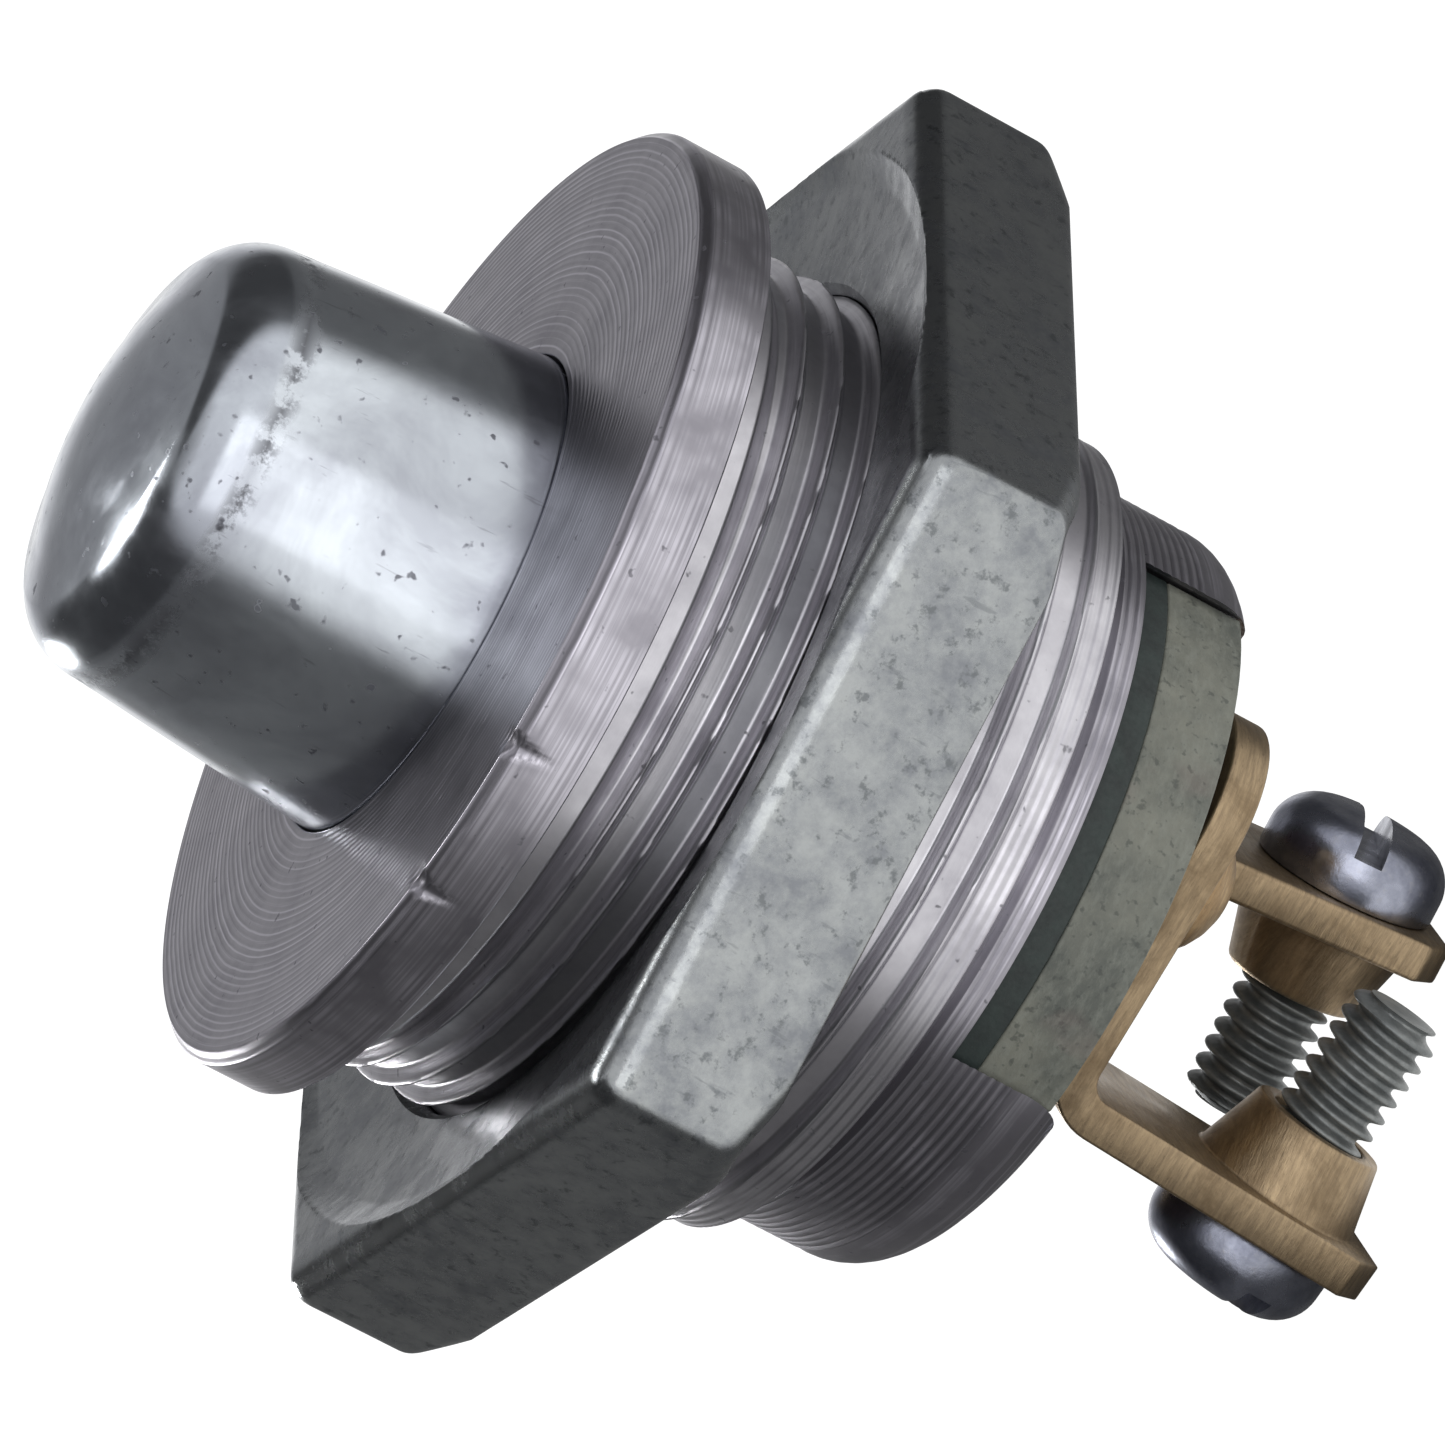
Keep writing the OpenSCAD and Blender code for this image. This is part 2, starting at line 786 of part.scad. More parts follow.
module contact_rivet_a() {
    side_a()
        contact_rivet();
}

module contact_rivet_b() {
    side_b()
        contact_rivet();
}

module silver_tip_a() {
    side_a()
        silver_tip();
}

module silver_tip_b() {
    side_b()
        silver_tip();
}

module terminal_screw_a() {
    side_a()
        terminal_screw();
}

module terminal_screw_b() {
    side_b()
        terminal_screw();
}

barrel();
panel_nut();
button_cap();
plunger_stem();
return_spring();
spring_washer();
guide_bush();
contact_liner();
contact_disc();
upper_insulating_washer();
lower_insulating_bush();
stem_clip();
gasket_sheet();
insulator_disc();
fibre_spacer();
terminal_a();
terminal_b();
contact_rivet_a();
contact_rivet_b();
silver_tip_a();
silver_tip_b();
terminal_screw_a();
terminal_screw_b();
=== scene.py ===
import json
import math

import bmesh
import bpy
import numpy as np
from mathutils import Matrix, Vector, noise


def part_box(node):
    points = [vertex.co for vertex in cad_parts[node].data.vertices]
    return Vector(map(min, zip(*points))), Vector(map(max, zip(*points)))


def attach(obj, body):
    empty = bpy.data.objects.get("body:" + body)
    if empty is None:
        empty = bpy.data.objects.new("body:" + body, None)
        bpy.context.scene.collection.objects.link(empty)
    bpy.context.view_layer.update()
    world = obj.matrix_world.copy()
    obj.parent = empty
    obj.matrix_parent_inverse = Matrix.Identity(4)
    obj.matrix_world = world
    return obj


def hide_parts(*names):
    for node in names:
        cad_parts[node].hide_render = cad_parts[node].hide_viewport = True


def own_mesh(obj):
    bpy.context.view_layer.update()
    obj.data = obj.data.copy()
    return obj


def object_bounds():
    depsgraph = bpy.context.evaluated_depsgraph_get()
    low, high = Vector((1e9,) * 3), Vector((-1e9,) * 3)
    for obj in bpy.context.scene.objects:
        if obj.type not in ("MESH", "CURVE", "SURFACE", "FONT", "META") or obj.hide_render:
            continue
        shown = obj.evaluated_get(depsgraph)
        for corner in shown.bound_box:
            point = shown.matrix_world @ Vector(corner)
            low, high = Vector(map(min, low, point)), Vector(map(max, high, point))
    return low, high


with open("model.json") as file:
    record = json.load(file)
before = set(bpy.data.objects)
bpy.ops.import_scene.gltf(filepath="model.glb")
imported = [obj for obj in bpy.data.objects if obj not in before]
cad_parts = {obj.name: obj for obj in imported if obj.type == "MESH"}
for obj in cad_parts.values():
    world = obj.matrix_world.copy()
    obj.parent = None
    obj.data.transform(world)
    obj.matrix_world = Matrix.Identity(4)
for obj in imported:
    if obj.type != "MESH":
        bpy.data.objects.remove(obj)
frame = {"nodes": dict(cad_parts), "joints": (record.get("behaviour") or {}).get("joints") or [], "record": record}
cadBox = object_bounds()
record = frame["record"]
mm = 0.001
print("Frame loaded: %d CAD nodes" % len(frame["nodes"]))


# Places from the CAD model, in millimetres

def boxMm(node):
    low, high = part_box(node)
    return np.array(low) / mm, np.array(high) / mm


def mountOf(name):
    return next(m for m in record["mounts"] if m["name"] == name)


barrelLow, barrelHigh = boxMm("barrel")
nutLow, nutHigh = boxMm("panel_nut")
buttonLow, buttonHigh = boxMm("button_cap")
discLow = boxMm("insulator_disc")[0]
gasketHigh = boxMm("gasket_sheet")[1]
threadR = mountOf("panel_register")["dims"]["r_mm"]
registerLength = mountOf("panel_register")["dims"]["length_mm"]


# Mesh making

def newPiece(name, vertices, faces, sharpAngle=32):
    mesh = bpy.data.meshes.new(name)
    mesh.from_pydata([tuple(v) for v in np.asarray(vertices, float) * mm], [], faces)
    piece = bpy.data.objects.new(name, mesh)
    bpy.context.scene.collection.objects.link(piece)
    tidyMesh(piece, sharpAngle)
    return piece


def tidyMesh(piece, sharpAngle=32):
    work = bmesh.new()
    work.from_mesh(piece.data)
    bmesh.ops.remove_doubles(work, verts=work.verts, dist=2e-7)
    bmesh.ops.recalc_face_normals(work, faces=work.faces)
    for face in work.faces:
        face.smooth = True
    work.to_mesh(piece.data)
    work.free()
    piece.data.set_sharp_from_angle(angle=math.radians(sharpAngle))


def gridFaces(rows, columns, wrap=True, start=0):
    faces = []
    across = columns if wrap else columns - 1
    for i in range(rows - 1):
        for j in range(across):
            k = (j + 1) % columns
            faces.append((start + i * columns + j, start + i * columns + k,
                          start + (i + 1) * columns + k, start + (i + 1) * columns + j))
    return faces


# points are (r, z) or (r, z, radius)
def filletPath(points, steps=5):
    path = []
    count = len(points)
    for i, point in enumerate(points):
        here = np.array(point[:2], float)
        radius = point[2] if len(point) > 2 else 0
        if radius <= 0 or i in (0, count - 1):
            path.append(here)
            continue
        before = np.array(points[i - 1][:2], float) - here
        after = np.array(points[i + 1][:2], float) - here
        lengthBefore, lengthAfter = np.linalg.norm(before), np.linalg.norm(after)
        before, after = before / lengthBefore, after / lengthAfter
        half = math.acos(max(-1, min(1, float(before @ after)))) / 2
        reach = min(radius / math.tan(half), 0.49 * lengthBefore, 0.49 * lengthAfter)
        a, b = here + before * reach, here + after * reach
        for s in range(steps + 1):
            t = s / steps
            path.append((1 - t) ** 2 * a + 2 * t * (1 - t) * here + t ** 2 * b)
    return path


def latheVertices(path, segments, wobble=None):
    angles = np.linspace(0, 2 * math.pi, segments, endpoint=False)
    rows = []
    for r, z in path:
        radius = np.full(segments, max(r, 0.004))
        height = np.full(segments, z)
        if wobble:
            radius, height = wobble(radius, height, angles)
        rows.append(np.stack([radius * np.cos(angles), radius * np.sin(angles), height], 1))
    return np.concatenate(rows)


def lathe(name, path, segments=192, closed=False, wobble=None, sharpAngle=32):
    vertices = latheVertices(path, segments, wobble)
    faces = gridFaces(len(path), segments)
    if closed:
        last = (len(path) - 1) * segments
        faces += [(last + j, last + (j + 1) % segments, (j + 1) % segments, j) for j in range(segments)]
    else:
        if path[0][0] < 0.01:
            faces.append(tuple(range(segments)))
        if path[-1][0] < 0.01:
            faces.append(tuple((len(path) - 1) * segments + j for j in range(segments)))
    return newPiece(name, vertices, faces, sharpAngle)


def bakeModifiers(piece, sharpAngle=32):
    bpy.context.view_layer.update()
    graph = bpy.context.evaluated_depsgraph_get()
    mesh = bpy.data.meshes.new_from_object(piece.evaluated_get(graph))
    piece.modifiers.clear()
    old = piece.data
    piece.data = mesh
    bpy.data.meshes.remove(old)
    tidyMesh(piece, sharpAngle)


def cutAway(piece, cutters, sharpAngle=32):
    for cutter in cutters:
        modifier = piece.modifiers.new("cut", "BOOLEAN")
        modifier.operation = "DIFFERENCE"
        modifier.solver = "EXACT"
        modifier.object = cutter
    bakeModifiers(piece, sharpAngle)
    for cutter in cutters:
        bpy.data.objects.remove(cutter)


# a plain block that only serves as a cutter
def slab(name, centre, size, angle=0):
    piece = newPiece(name, [[x * size[0] / 2, y * size[1] / 2, z * size[2] / 2]
                            for x in (-1, 1) for y in (-1, 1) for z in (-1, 1)],
                     [(0, 1, 3, 2), (4, 6, 7, 5), (0, 4, 5, 1), (2, 3, 7, 6), (0, 2, 6, 4), (1, 5, 7, 3)])
    piece.data.transform(Matrix.Rotation(math.radians(angle), 4, "Z"))
    piece.data.transform(Matrix.Translation(Vector(centre) * mm))
    return piece


def smoothStep(low, high, x):
    t = np.clip((x - low) / (high - low), 0, 1)
    return t * t * (3 - 2 * t)


def place(piece, body, slot, material, *nodes):
    piece.data.materials.clear()
    piece.data.materials.append(material)
    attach(piece, body)
    if nodes:
        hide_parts(*nodes)
    return piece


# Materials

# the nodes of a material, or of the tree passed in, added one call at a time
class Finish:

    def __init__(self, name, tree=None):
        space = "Generated"
        if tree is None:
            self.material = bpy.data.materials.new(name)
            self.material.use_nodes = True
            tree = self.material.node_tree
            self.shader = tree.nodes["Principled BSDF"]
            space = "Object"
        self.tree = tree
        self.coords = tree.nodes.new("ShaderNodeTexCoord").outputs[space]

    def link(self, value, socket):
        if isinstance(value, bpy.types.NodeSocket):
            self.tree.links.new(value, socket)
        else:
            socket.default_value = value

    def add(self, kind, out=0, **settings):
        node = self.tree.nodes.new("ShaderNode" + kind)
        inputs = settings.pop("inputs", {})
        for key, value in settings.items():
            setattr(node, key, value)
        for key, value in inputs.items():
            self.link(value, node.inputs[key])
        return node.outputs[out]

    def maths(self, operation, a, b=0.0):
        return self.add("Math", operation=operation, inputs={0: a, 1: b})

    def mapped(self, scale, vector=None):
        return self.add("Mapping", inputs={"Vector": vector or self.coords, "Scale": scale})

    def noise(self, scale, detail=4, rough=0.55, vector=None, distortion=0.0):
        return self.add("TexNoise", inputs={"Vector": vector or self.coords, "Scale": scale, "Detail": detail,
                                            "Roughness": rough, "Distortion": distortion})

    def grey(self, value, low, high, a=0.0, b=1.0):
        node = self.tree.nodes.new("ShaderNodeMapRange")
        self.link(value, node.inputs["Value"])
        for key, number in zip(("From Min", "From Max", "To Min", "To Max"), (low, high, a, b)):
            node.inputs[key].default_value = number
        return node.outputs[0]

    def mix(self, factor, a, b):
        node = self.tree.nodes.new("ShaderNodeMix")
        node.data_type = "RGBA"
        self.link(factor, node.inputs[0])
        self.link(a if not isinstance(a, tuple) else (*a[:3], 1), node.inputs[6])
        self.link(b if not isinstance(b, tuple) else (*b[:3], 1), node.inputs[7])
        return node.outputs[2]

    # distance from the axis, and height along it
    def turned(self):
        split = self.add("SeparateXYZ", inputs={0: self.coords})
        parts = split.node.outputs
        flat = self.add("CombineXYZ", inputs={0: parts[0], 1: parts[1], 2: 0.0})
        away = self.add("VectorMath", out=1, operation="LENGTH", inputs={0: flat})
        return away, parts[2]

    # fine turning lines: rings on a face, hoops on a cylinder
    def lines(self, scale, detail=3):
        away, along = self.turned()
        spot = self.add("CombineXYZ", inputs={0: away, 1: along, 2: 0.0})
        return self.noise(scale, detail, 0.7, spot)

    def bump(self, height, distance, strength=1.0, under=None):
        node = self.tree.nodes.new("ShaderNodeBump")
        node.inputs["Strength"].default_value = strength
        node.inputs["Distance"].default_value = distance
        self.link(height, node.inputs["Height"])
        if under:
            self.link(under, node.inputs["Normal"])
        return node.outputs[0]

    def done(self, color, metallic, roughness, normal=None, **plain):
        if isinstance(color, tuple):
            color = (*color[:3], 1)
        self.link(color, self.shader.inputs["Base Color"])
        self.link(metallic, self.shader.inputs["Metallic"])
        self.link(roughness, self.shader.inputs["Roughness"])
        if normal:
            self.link(normal, self.shader.inputs["Normal"])
        for key, value in plain.items():
            self.shader.inputs[key].default_value = value
        return self.material


turnedMetal = {"light": (0.34, 0.328, 0.36), "dark": (0.25, 0.242, 0.27), "line": (0.62, 0.60, 0.66),
               "roughness": 0.28, "lineDepth": 0.006, "lineGap": 0.23}
# a lighter copy of the turned barrel metal: painted light that offsets the shade on the thread between the flange
# and the nut
threadMetalLitCopy = {"light": (0.58, 0.57, 0.60), "dark": (0.38, 0.37, 0.40), "line": (0.66, 0.65, 0.68),
               "roughness": 0.28, "lineDepth": 0.004, "lineGap": 0.9}


def turnedFinish(name, look, lineScale=9000):
    f = Finish(name)
    rings = f.lines(lineScale, 2)
    away = f.turned()[0]
    wander = f.maths("MULTIPLY", f.noise(500, 2), 0.00012)
    turns = f.maths("MULTIPLY", f.maths("ADD", away, wander), 2 * math.pi / (look["lineGap"] * mm))
    coarse = f.maths("SINE", turns)
    cloud = f.noise(420, 5, 0.6)
    specks = f.grey(f.noise(2600, 2, 0.5), 0.7, 0.76)
    shade = f.mix(f.grey(cloud, 0.35, 0.7), look["light"], look["dark"])
    crest = f.maths("MULTIPLY", f.grey(coarse, 0.25, 1.0), f.grey(rings, 0.38, 0.6))
    shade = f.mix(f.maths("MULTIPLY", crest, 0.8), shade, look["line"])
    shade = f.mix(f.maths("MULTIPLY", specks, 0.55), shade, (0.08, 0.08, 0.09))
    clean = f.grey(cloud, 0.3, 0.7, look["roughness"], look["roughness"] + 0.12)
    rough = f.maths("ADD", clean, f.maths("MULTIPLY", specks, 0.25))
    low = f.bump(coarse, look["lineDepth"] * mm * 0.9, 0.8)
    return f.done(shade, 1.0, rough, f.bump(rings, look["lineDepth"] * mm, 0.8, low))


platedNut = {"light": (0.345, 0.36, 0.36), "dark": (0.205, 0.215, 0.23), "roughness": 0.22,
             "pitDark": 0.75, "strokeDark": 0.4}


def nutFinish(name, look):
    f = Finish(name)
    cloud = f.noise(520, 8, 0.72)
    grain = f.noise(2600, 4, 0.7)
    pits = f.grey(f.noise(2100, 4, 0.7), 0.57, 0.66)
    strokes = f.grey(f.noise(900, 3, 0.6, f.mapped((3.2, 3.2, 0.7))), 0.63, 0.69)
    shade = f.mix(f.grey(cloud, 0.38, 0.62), look["light"], look["dark"])
    shade = f.mix(f.maths("MULTIPLY", f.grey(grain, 0.45, 0.7), 0.4), shade, (0.36, 0.375, 0.365))
    shade = f.mix(f.maths("MULTIPLY", pits, look["pitDark"]), shade, (0.13, 0.14, 0.145))
    shade = f.mix(f.maths("MULTIPLY", strokes, look["strokeDark"]), shade, (0.12, 0.13, 0.14))
    rough = f.grey(cloud, 0.3, 0.7, look["roughness"] - 0.06, look["roughness"] + 0.14)
    low = f.bump(f.noise(900, 5, 0.6), 0.02 * mm, 0.6)
    return f.done(shade, 1.0, rough, f.bump(grain, 0.012 * mm, 0.7, low))


polish = {"light": (0.60, 0.64, 0.68), "dark": (0.38, 0.40, 0.44), "roughness": 0.15,
          "wornAt": 10.0, "wornWidth": 0.5}


def buttonFinish(name, look):
    f = Finish(name)
    cloud = f.noise(180, 5, 0.6, distortion=0.6)
    smear = f.noise(700, 4, 0.6, f.mapped((1, 1, 0.25)))
    spots = f.grey(f.noise(2300, 2, 0.45), 0.68, 0.74)
    shade = f.mix(f.grey(cloud, 0.35, 0.65), look["light"], look["dark"])
    shade = f.mix(f.maths("MULTIPLY", spots, 0.7), shade, (0.1, 0.1, 0.12))
    along = f.turned()[1]
    off = f.maths("ABSOLUTE", f.maths("SUBTRACT", along, look["wornAt"] * mm))
    wornBand = f.grey(off, 0.0, look["wornWidth"] * mm, 1.0, 0.0)
    worn = f.maths("MULTIPLY", wornBand, f.grey(f.noise(900, 5, 0.75), 0.47, 0.56))
    shade = f.mix(f.maths("MULTIPLY", worn, 0.75), shade, (0.1, 0.1, 0.11))
    scratch = f.grey(f.noise(1500, 3, 0.7, f.mapped((3.0, 3.0, 0.12))), 0.66, 0.72)
    shade = f.mix(f.maths("MULTIPLY", scratch, 0.35), shade, (0.16, 0.16, 0.18))
    marks = f.maths("ADD", f.maths("MULTIPLY", spots, 0.3), f.maths("MULTIPLY", worn, 0.35))
    rough = f.maths("ADD", f.grey(smear, 0.4, 0.7, look["roughness"], look["roughness"] + 0.12), marks)
    low = f.bump(f.noise(220, 3, 0.5), 0.02 * mm, 0.5)
    return f.done(shade, 1.0, rough, f.bump(smear, 0.004 * mm, 0.5, low))


def screwFinish(name):
    f = Finish(name)
    cloud = f.noise(650, 5, 0.6)
    grain = f.noise(4200, 3, 0.6)
    shade = f.mix(f.grey(cloud, 0.36, 0.66), (0.34, 0.355, 0.42), (0.14, 0.148, 0.19))
    shade = f.mix(f.maths("MULTIPLY", f.grey(grain, 0.55, 0.75), 0.5), shade, (0.32, 0.32, 0.34))
    rough = f.grey(cloud, 0.3, 0.7, 0.2, 0.42)
    return f.done(shade, 1.0, rough, f.bump(grain, 0.012 * mm, 0.7))


def threadFinish(name):
    f = Finish(name)
    cloud = f.noise(900, 5, 0.65)
    grain = f.noise(5200, 3, 0.6)
    shade = f.mix(f.grey(cloud, 0.36, 0.66), (0.24, 0.25, 0.245), (0.13, 0.14, 0.14))
    return f.done(shade, 0.75, f.grey(grain, 0.3, 0.7, 0.42, 0.6), f.bump(grain, 0.02 * mm, 0.7))


def brassFinish(name, light, dark, stain):
    f = Finish(name)
    brushed = f.noise(900, 4, 0.7, f.mapped((1, 1, 9)))
    fine = f.noise(3400, 3, 0.6, f.mapped((1, 1, 7)))
    cloud = f.noise(420, 5, 0.65, distortion=0.5)
    shade = f.mix(f.grey(brushed, 0.35, 0.65), light, dark)
    shade = f.mix(f.maths("MULTIPLY", f.grey(cloud, 0.5, 0.68), 0.75), shade, stain)
    shade = f.mix(f.maths("MULTIPLY", f.grey(fine, 0.58, 0.72), 0.5), shade, (0.12, 0.09, 0.06))
    rough = f.grey(cloud, 0.3, 0.7, 0.32, 0.55)
    low = f.bump(brushed, 0.02 * mm, 0.7)
    return f.done(shade, 0.95, rough, f.bump(fine, 0.012 * mm, 0.8, low))


def laminateFinish(name):
    f = Finish(name)
    cloud = f.noise(300, 6, 0.65)
    grain = f.noise(1900, 5, 0.7, f.mapped((1, 1, 2.2)))
    speck = f.noise(4200, 2, 0.5)
    shade = f.mix(f.grey(cloud, 0.35, 0.65), (0.17, 0.173, 0.14), (0.075, 0.082, 0.07))
    shade = f.mix(f.maths("MULTIPLY", f.grey(grain, 0.45, 0.7), 0.5), shade, (0.21, 0.22, 0.19))
    shade = f.mix(f.maths("MULTIPLY", f.grey(speck, 0.6, 0.7), 0.55), shade, (0.03, 0.035, 0.03))
    rust = f.grey(f.noise(260, 3, 0.6, f.mapped((1, 1, 0.6))), 0.6, 0.72)
    shade = f.mix(f.maths("MULTIPLY", rust, 0.35), shade, (0.16, 0.09, 0.085))
    low = f.bump(grain, 0.03 * mm, 0.8)
    return f.done(shade, 0.0, f.grey(grain, 0.3, 0.7, 0.5, 0.75), f.bump(speck, 0.015 * mm, 0.6, low))


def plainFinish(name, light, dark, metallic, roughness, scale=900, depth=0.015):
    f = Finish(name)
    cloud = f.noise(scale, 5, 0.62)
    fine = f.noise(scale * 4.5, 3, 0.6)
    shade = f.mix(f.grey(cloud, 0.35, 0.68), light, dark)
    rough = f.grey(fine, 0.3, 0.7, roughness - 0.07, roughness + 0.1)
    return f.done(shade, metallic, rough, f.bump(fine, depth * mm, 0.7))


finishes = {
    "barrel": turnedFinish("turnedBarrel", turnedMetal),
    # the thread uses the lighter copy of the barrel metal, which is painted light
    "thread": turnedFinish("turnedThread", threadMetalLitCopy),
    "nut": nutFinish("platedNut", platedNut),
    "button": buttonFinish("polishedButton", polish),
    "screw": screwFinish("platedScrew"),
    "screwThread": threadFinish("dullThread"),
    "terminal": brassFinish("tarnishedBrass", (0.36, 0.27, 0.165), (0.235, 0.175, 0.11), (0.17, 0.12, 0.07)),
    "rivet": brassFinish("rivetBrass", (0.44, 0.31, 0.165), (0.27, 0.185, 0.1), (0.2, 0.115, 0.06)),
    "disc": laminateFinish("laminateDisc"),
    # the gasket's near-black colour is partly the sheet's own and partly painted shade for the shadowed gap at the
    # barrel's slot
    "gasket": plainFinish("gasketSheet", (0.016, 0.026, 0.023), (0.008, 0.013, 0.012), 0.0, 0.6, 1400),
    # the spacer's very dark colour is partly the fibre's own and partly painted shade for the gap between the disc
    # and the terminal plates
    "spacer": plainFinish("spacerFibre", (0.075, 0.035, 0.04), (0.03, 0.018, 0.02), 0.0, 0.65, 1300),
    "stem": plainFinish("stemSteel", (0.62, 0.61, 0.58), (0.42, 0.41, 0.4), 1.0, 0.25, 700),
    "spring": plainFinish("springWire", (0.5, 0.51, 0.54), (0.3, 0.31, 0.34), 1.0, 0.22, 900),
    "washer": plainFinish("washerSteel", (0.55, 0.55, 0.57), (0.36, 0.36, 0.38), 1.0, 0.32, 800),
    "guide": plainFinish("guideBrass", (0.72, 0.57, 0.3), (0.5, 0.38, 0.2), 1.0, 0.3, 700),
    "liner": plainFinish("linerFibre", (0.24, 0.16, 0.11), (0.15, 0.1, 0.07), 0.0, 0.6, 1100),
    "copper": plainFinish("contactCopper", (0.68, 0.42, 0.28), (0.46, 0.27, 0.17), 1.0, 0.28, 800),
    "insulation": plainFinish("insulationFibre", (0.32, 0.24, 0.17), (0.2, 0.15, 0.1), 0.0, 0.6, 1200),
    "clip": plainFinish("clipSteel", (0.4, 0.4, 0.43), (0.26, 0.26, 0.3), 1.0, 0.3, 900),
    "silver": plainFinish("contactSilver", (0.76, 0.75, 0.73), (0.55, 0.54, 0.52), 1.0, 0.3, 900),
}
print("Materials ready: %d" % len(finishes))


# Flange, with the opening that the button slides in

flange = {"chamfer": 0.3, "faceRound": 0.12, "chamferRound": 0.06, "backRound": 0.1,
          "buttonRadius": 7.5, "boreGap": 0.06, "boreDepth": 1.0, "threadLap": 0.35,
          "rimBand": 1.3, "fineBand": 1.2, "fineStep": 0.14, "coarseStep": 1.0,
          "nickAngles": (260, 241), "nickWidth": 0.7, "nickDepth": 0.16, "nickLength": 1.5}


def makeFlange():
    rim = barrelHigh[0]
    top = barrelHigh[2]
    bore = flange["buttonRadius"] + flange["boreGap"]
    chamfer, soft = flange["chamfer"], flange["faceRound"]
    path = filletPath([(bore, -flange["boreDepth"]), (bore, top, soft), (rim - flange["rimBand"], top),
                       (rim - chamfer, top, flange["chamferRound"]), (rim, top - chamfer, soft),
                       (rim, 0.0, flange["backRound"]), (threadR - flange["threadLap"], 0.0)])
    dense = [path[0]]
    for a, b in zip(path[:-1], path[1:]):
        step = flange["fineStep"] if b[0] > rim - flange["fineBand"] else flange["coarseStep"]
        steps = max(1, int(np.linalg.norm(b - a) / step))
        dense += [a + (b - a) * s / steps for s in range(1, steps + 1)]

    def nick(radius, height, angles):
        for centre in flange["nickAngles"]:
            off = (np.degrees(angles) - centre + 180) % 360 - 180
            side = np.abs(np.radians(off)) * rim
            down = np.clip((top - height) / flange["nickLength"], 0, 1)
            half = flange["nickWidth"] / 2 * (1 - down) + 0.02
            near = np.sqrt(np.clip(1 - side / half, 0, 1)) * (down < 1)
            depth = flange["nickDepth"] * (1 - down) * near
            edge = smoothStep(rim - 1.0, rim - 0.25, radius)
            radius = radius - depth * edge
            height = height - 0.35 * depth * edge * (down < 0.2)
        return radius, height

    piece = lathe("flange", dense, 800, wobble=nick, sharpAngle=40)
    return place(piece, "housing", "barrel_metal", finishes["barrel"], "barrel")


# Threaded part of the barrel

head = {"outside": 11.7, "ridgePitch": 0.3, "ridgeDepth": 0.045, "slotWidth": 15.7, "slotAngle": -71,
        "lipRound": 1.9, "wallInside": 10.2, "lipInside": 9.3}
thread = {"pitch": 1.25, "turns": 9, "depth": 0.5, "rootEnd": 0.5, "tail": 0.75,
          "step": 0.06, "segments": 300}


def makeThread():
    pitch = thread["pitch"]
    depth = thread["depth"]
    start = -registerLength
    end = start - pitch * thread["turns"]
    bottom = end - thread["tail"]
    count = int(-bottom / thread["step"])
    heights = np.linspace(0.0, bottom, count)
    angles = np.linspace(0, 2 * math.pi, thread["segments"], endpoint=False)
    rows = []
    for z in heights:
        phase = ((start - z) / pitch - angles / (2 * math.pi)) % 1.0
        off = np.abs(phase - 0.5) * 2          # 1 on the crest, 0 at the root
        cut = (1 - smoothStep(thread["rootEnd"], 0.97, off)) * depth
        fade = np.clip((start - z) / 0.5, 0, 1) * np.ones_like(angles)
        radius = threadR - cut * fade
        tail = np.clip((z - (end - 0.05)) / 0.5, 0, 1)
        root = threadR - depth + 0.1
        radius = root + (radius - root) * (tail * tail * (3 - 2 * tail))
        ridge = 0.5 + 0.5 * math.cos(2 * math.pi * z / head["ridgePitch"])
        radius = radius - (1 - tail) * head["ridgeDepth"] * ridge
        rows.append(np.stack([radius * np.cos(angles), radius * np.sin(angles), np.full_like(angles, z)], 1))
    piece = newPiece("barrelThread", np.concatenate(rows), gridFaces(count, thread["segments"]), 50)
    # the thread's finish is a lighter copy of the barrel metal, with painted light against the shade there
    place(piece, "housing", "barrel_metal", finishes["thread"], "barrel")
    return bottom, root


# Plain head behind the thread: turned ridges, rolled lip and milled slot

def makeHead(topZ, topR):
    low = barrelLow[2]
    outer = head["outside"]
    lip = head["lipRound"]
    path = [(topR, topZ + 0.02), (outer - 0.12, topZ - 0.45), (outer, topZ - 0.65)]
    z = topZ - 0.65
    ridgeEnd = low + lip + 0.5
    while z > ridgeEnd:
        for share, cut in ((0.25, 0.35), (0.5, 1.0), (0.75, 0.4), (1.0, 0.0)):
            path.append((outer - head["ridgeDepth"] * cut, z - share * head["ridgePitch"]))
        z -= head["ridgePitch"]
    path.append((outer - 0.05, z - 0.1))
    path.append((outer, low + lip))
    for s in range(1, 11):
        a = math.radians(90 * s / 10)
        path.append((outer - lip + lip * math.cos(a), low + lip - lip * math.sin(a)))
    inside = head["lipInside"]
    wall = head["wallInside"]
    path += [(inside + 0.12, low), (inside, low + 0.12), (inside, discLow[2]), (wall, discLow[2]),
             (wall, gasketHigh[2]), (inside, gasketHigh[2]), (inside, topZ + 0.02)]
    piece = lathe("barrelHead", path, 256, closed=True)
    slot = slab("slotCut", (0, 0, (gasketHigh[2] + low) / 2 - 1),
                (60, head["slotWidth"], gasketHigh[2] - low + 2), head["slotAngle"])
    cutAway(piece, [slot])
    return place(piece, "housing", "barrel_metal", finishes["barrel"], "barrel")


# Button

button = {"taper": 0.75, "edgeRound": 2.3, "domeHeight": 0.8, "footRadius": 7.5,
          "footDepth": 1.0, "hollowRadius": 5.4, "capThickness": 3.6, "stemHole": 2.0}


